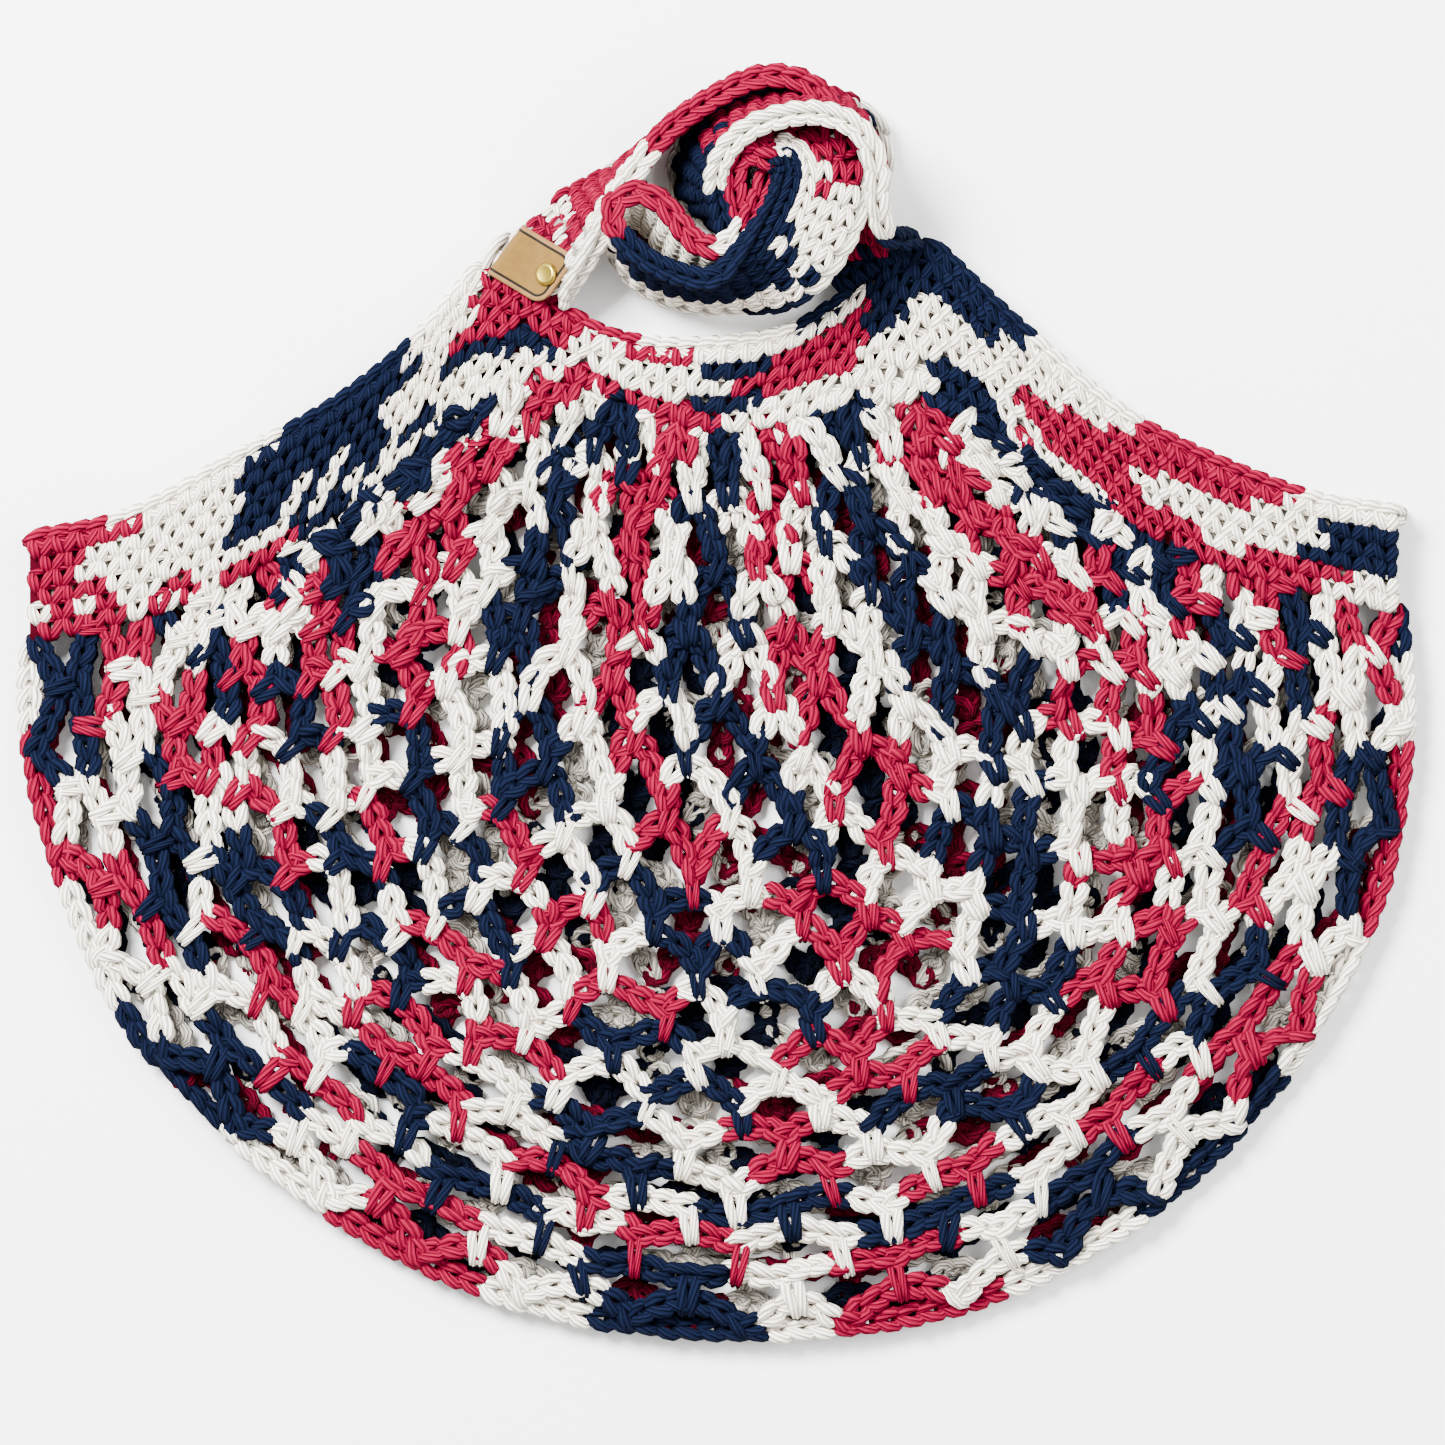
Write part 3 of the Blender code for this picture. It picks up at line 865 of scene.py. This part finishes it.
def strapFrames(stations, count):
    # middle, heading and width direction at even distances
    points = evenSpline(stations, count)
    frames = []
    for i, point in enumerate(points):
        ahead = points[min(i + 1, count)]
        behind = points[max(i - 1, 0)]
        heading = (Vector(ahead[:3]) - Vector(behind[:3])).normalized()
        side = Vector((heading.y, -heading.x, 0)).normalized()
        lean = math.radians(point[3])
        wide = side * math.cos(lean) + Vector((0, 0, 1)) * math.sin(lean)
        wide = (wide - heading * wide.dot(heading)).normalized()
        frames.append((Vector(point[:3]), heading, wide))
    return frames


def makeRun(name):
    stations = strap[name]
    innerTones, outerTones, faceTones = strap[name + "Tones"]
    lot = Lot()
    length = curveLength(stations)
    count = round(length / strap["pitch"])
    frames = strapFrames(stations, count * 2)
    half = strap["width"] / 2 - strap["inset"]
    grid = [[place + wide * (half * share) for share in (-1, -0.5, 0, 0.5, 1)] for place, _, wide in frames]

    def toneOf(share, at):
        tone = toneAt(faceTones, share)
        for low, high, left, right, colour in strap[name + "Patches"]:
            if low <= share < high and left <= at < right:
                tone = colour
        return tone

    # a backing sheet, darkened all over with painted shade
    ground = Lot()
    ground.sheet(grid, lambda i, j: toneOf(i / (2 * count), j / 2 - 0.75), strap["ground"])
    for k in range(count):
        place, heading, wide = frames[2 * k + 1]
        step = (frames[2 * k + 2][0] - frames[2 * k][0]).length
        normal = wide.cross(heading).normalized()
        for face in (1, -1):
            for j in range(strap["across"]):
                at = (j + 0.5) / strap["across"] * 2 - 1
                spot = place + wide * (half * at) + normal * face * strap["proud"]
                tone = toneOf((k + 0.5 + vary(0, strap["mix"])) / count, at)
                across = wide * (2 * half / strap["across"] / strap["drawnWidth"]) * face
                along = heading * (step / strap["drawnLength"]) + wide * vary(0, strap["lean"])
                pressed = name == "outer" and k <= strap["pressed"]
                up = normal * face * strap["pressedTall" if pressed else "tall"]
                lot.add(closeStitch, spot, across, along, up, tone, stagger())
    edgeCount = round(length / strap["edgeLink"])
    edges = strapFrames(stations, edgeCount * 2)
    for k in range(edgeCount):
        for side, tones in ((1, innerTones), (-1, outerTones)):
            if name == "outer" and side < 0 and 0 < k < strap["pressed"]:
                continue
            far = side * (half + strap["edgeOut"])
            before, after = [edges[i][0] + edges[i][2] * far for i in (2 * k, 2 * k + 2)]
            way = after - before
            up = edges[2 * k + 1][2] * side
            across = way.normalized().cross(up).normalized()
            tone = toneAt(tones, (k + 0.5) / edgeCount)
            place = (before + after) / 2
            lot.add(chainFine, place, across, way / strap["drawnLink"], up, tone, stagger())
    return ground.finish("strap_ground_" + name), lot.finish("strap_" + name), length


tag = {
    "length": 18.6,
    "wide": 16.2,
    "thick": 1.2,
    "radius": 4.0,
    # half the distance between its two sides, and the share of it by which the fold bulges
    "off": 4.2,
    "bulge": 0.4,
    "segments": 20,
    "flatSteps": 30,
    "bowSteps": 12,
    # its place: the step of so many millimetres along the strap, a shift from there, a turn and a slant
    "at": 5,
    "step": 2.0,
    "shift": (2.0, -4.7),
    "turn": 20,
    "skew": 0.2,
    # height of the stitches under its front
    "over": 12.2,
    # leather, with a burnt line along its edge
    "tone": (0.125, 0.066, 0.0105),
    "edgeTone": (0.17, 0.088, 0.03),
    "roughness": 0.65,
    "gloss": 0.12,
    "line": 1.5,
    "lineWidth": 0.36,
    "burnt": 0.02,
    "grain": (420, 0.5, 0.72),
    "pores": (900, 0.25, 0.0004),
}


def leatherMaterial():
    # "inset" is the distance from the cut edge, in millimetres
    material = plainMaterial("tanLeather", tag["tone"], tag["roughness"], gloss=tag["gloss"])
    tree = material.node_tree
    inset = tree.nodes.new("ShaderNodeAttribute")
    inset.attribute_name = "inset"
    away = mathNode(tree, "ABSOLUTE", mathNode(tree, "SUBTRACT", inset.outputs["Fac"], tag["line"]))
    plain = mathNode(tree, "GREATER_THAN", away, tag["lineWidth"])
    edge = mathNode(tree, "LESS_THAN", inset.outputs["Fac"], tag["line"])
    mix = tree.nodes.new("ShaderNodeMix")
    mix.data_type = "RGBA"
    mix.inputs["A"].default_value = (*tag["tone"], 1)
    mix.inputs["B"].default_value = (*tag["edgeTone"], 1)
    tree.links.new(edge, mix.inputs["Factor"])
    scale, share, low = tag["grain"]
    grain = mathNode(tree, "MULTIPLY_ADD", noiseNode(tree, scale, 4), share, low)
    lined = mathNode(tree, "MULTIPLY_ADD", plain, 1 - tag["burnt"], tag["burnt"])
    shade = mathNode(tree, "MULTIPLY", grain, lined)
    tone = tinted(tree, mix.outputs["Result"], shade)
    tree.links.new(tone, tree.nodes["Principled BSDF"].inputs["Base Color"])
    scale, strength, distance = tag["pores"]
    addBump(tree, noiseNode(tree, scale, 4), strength, distance)
    return material


def tagFrame():
    # middle of the strap under the tag, along and across it, and outward
    count = round(curveLength([point[:2] + (0,) for point in strap["outer"]]) / tag["step"])
    place, heading, wide = strapFrames(strap["outer"], count)[tag["at"]]
    normal = wide.cross(heading).normalized()
    turn = Matrix.Rotation(math.radians(tag["turn"]), 3, normal)
    return place + Vector((*tag["shift"], 0)), turn @ heading, turn @ wide, normal


def makeTag():
    middlePlace, heading, wide, normal = tagFrame()
    edge = -strap["width"] / 2
    turns = [math.pi * i / tag["bowSteps"] for i in range(tag["bowSteps"] + 1)]
    bow = [(edge - tag["off"] * math.sin(a) * tag["bulge"], tag["off"] * math.cos(a)) for a in turns]
    flat = [edge + tag["length"] * (1 - i / tag["flatSteps"]) for i in range(tag["flatSteps"])]
    path = [(x, tag["off"]) for x in flat] + bow + [(x, -tag["off"]) for x in reversed(flat)]
    run = [0.0]
    for a, b in zip(path, path[1:]):
        run.append(run[-1] + math.dist(a, b))
    across = tag["segments"]
    size = tag["wide"]
    bm = bmesh.new()
    bmesh.ops.create_grid(bm, x_segments=across, y_segments=len(path) - 1, size=1)
    layer = bm.verts.layers.float.new("inset")
    bm.verts.ensure_lookup_table()
    for i, vert in enumerate(bm.verts):
        j = i // (across + 1)
        share = i % (across + 1) / across
        fromEnd = min(run[j], run[-1] - run[j])
        short = max(tag["radius"] - fromEnd, 0)
        cut = tag["radius"] - math.sqrt(tag["radius"] ** 2 - short**2)  # rounded corners
        along = (share - 0.5) * (size - 2 * cut)
        fromSide = size / 2 - abs(along)
        corner = tag["radius"] - math.hypot(short, max(tag["radius"] - fromSide, 0))
        vert[layer] = corner if short > 0 and fromSide < tag["radius"] else min(fromEnd, fromSide)
        out = path[j][0] + tag["skew"] * along
        spot = middlePlace + heading * along + wide * out + normal * path[j][1]
        # the leather bends over the stitches under its front, and over the table
        low = tag["over"] * max(path[j][1], 0) / tag["off"] + tag["thick"] / 2
        spot.z = low + float(np.logaddexp(0, (spot.z - low) / yarn["give"])) * yarn["give"]
        vert.co = (spot - Vector((*middle, 0))) * mm
    bmesh.ops.recalc_face_normals(bm, faces=bm.faces)
    piece = addPiece("tag_strip", bm, [leatherMaterial()], smooth=True)
    solid = piece.modifiers.new("thick", "SOLIDIFY")
    solid.thickness = tag["thick"] * mm
    solid.offset = 0
    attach(piece, "root")
    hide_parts("label_tag")
    print("tag made")


rivet = {
    # radius, and height over the tag, along its cap
    "cap": [
        (0.0, 1.45), (1.9, 1.45), (2.15, 1.5), (2.5, 1.5), (2.9, 1.2), (3.15, 0.7), (3.15, 0.0), (1.2, 0.0),
    ],
    "fromFold": 14.4,
    "steps": 40,
    "weld": 0.001,
    "brass": (0.36, 0.26, 0.04),
    "roughness": 0.28,
}


def makeRivet():
    place, _, wide, normal = tagFrame()
    spot = place + wide * (rivet["fromFold"] - strap["width"] / 2)
    seat = tag["off"] + tag["thick"] / 2
    cap = rivet["cap"]
    front = [(radius, seat + height) for radius, height in cap]
    back = [(radius, -height) for radius, height in front]
    profile = back + front[:0:-1]
    profile.append(front[0])
    bm = bmesh.new()
    verts = [bm.verts.new((radius, 0, height)) for radius, height in profile]
    edges = [bm.edges.new(pair) for pair in zip(verts, verts[1:])]
    bmesh.ops.spin(
        bm, geom=verts + edges, cent=(0, 0, 0), axis=(0, 0, 1), angle=2 * math.pi, steps=rivet["steps"],
        use_merge=True,
    )
    bmesh.ops.remove_doubles(bm, verts=bm.verts[:], dist=rivet["weld"])
    bmesh.ops.rotate(bm, verts=bm.verts, cent=(0, 0, 0), matrix=normal.to_track_quat("Z", "Y").to_matrix())
    bmesh.ops.translate(bm, verts=bm.verts, vec=spot - Vector((*middle, 0)))
    bmesh.ops.scale(bm, verts=bm.verts, vec=(mm, mm, mm))
    bmesh.ops.recalc_face_normals(bm, faces=bm.faces)
    brass = plainMaterial("brass", rivet["brass"], rivet["roughness"], 1.0)
    piece = addPiece("rivet_cap", bm, [brass], smooth=True)
    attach(piece, "root")
    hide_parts("rivet")
    print("rivet made")


setStage()
netPieces = Net("front", 0.0, 3).lay(chainFine) + Net("back", 0.5, 9).lay(chainPlain)
rimPieces = [makeRimLayer("front", 1, closeStitch), makeRimLayer("back", -1, closePlain)]
runs = [makeRun(name) for name in ("outer", "upper", "inner")]
makeTag()
makeRivet()
for piece in netPieces:
    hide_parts("net_pouch")
for ground, stitching in rimPieces:
    for piece in (ground, stitching):
        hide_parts("rim_band")
for ground, stitching, length in runs:
    for piece in (ground, stitching):
        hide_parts("strap")
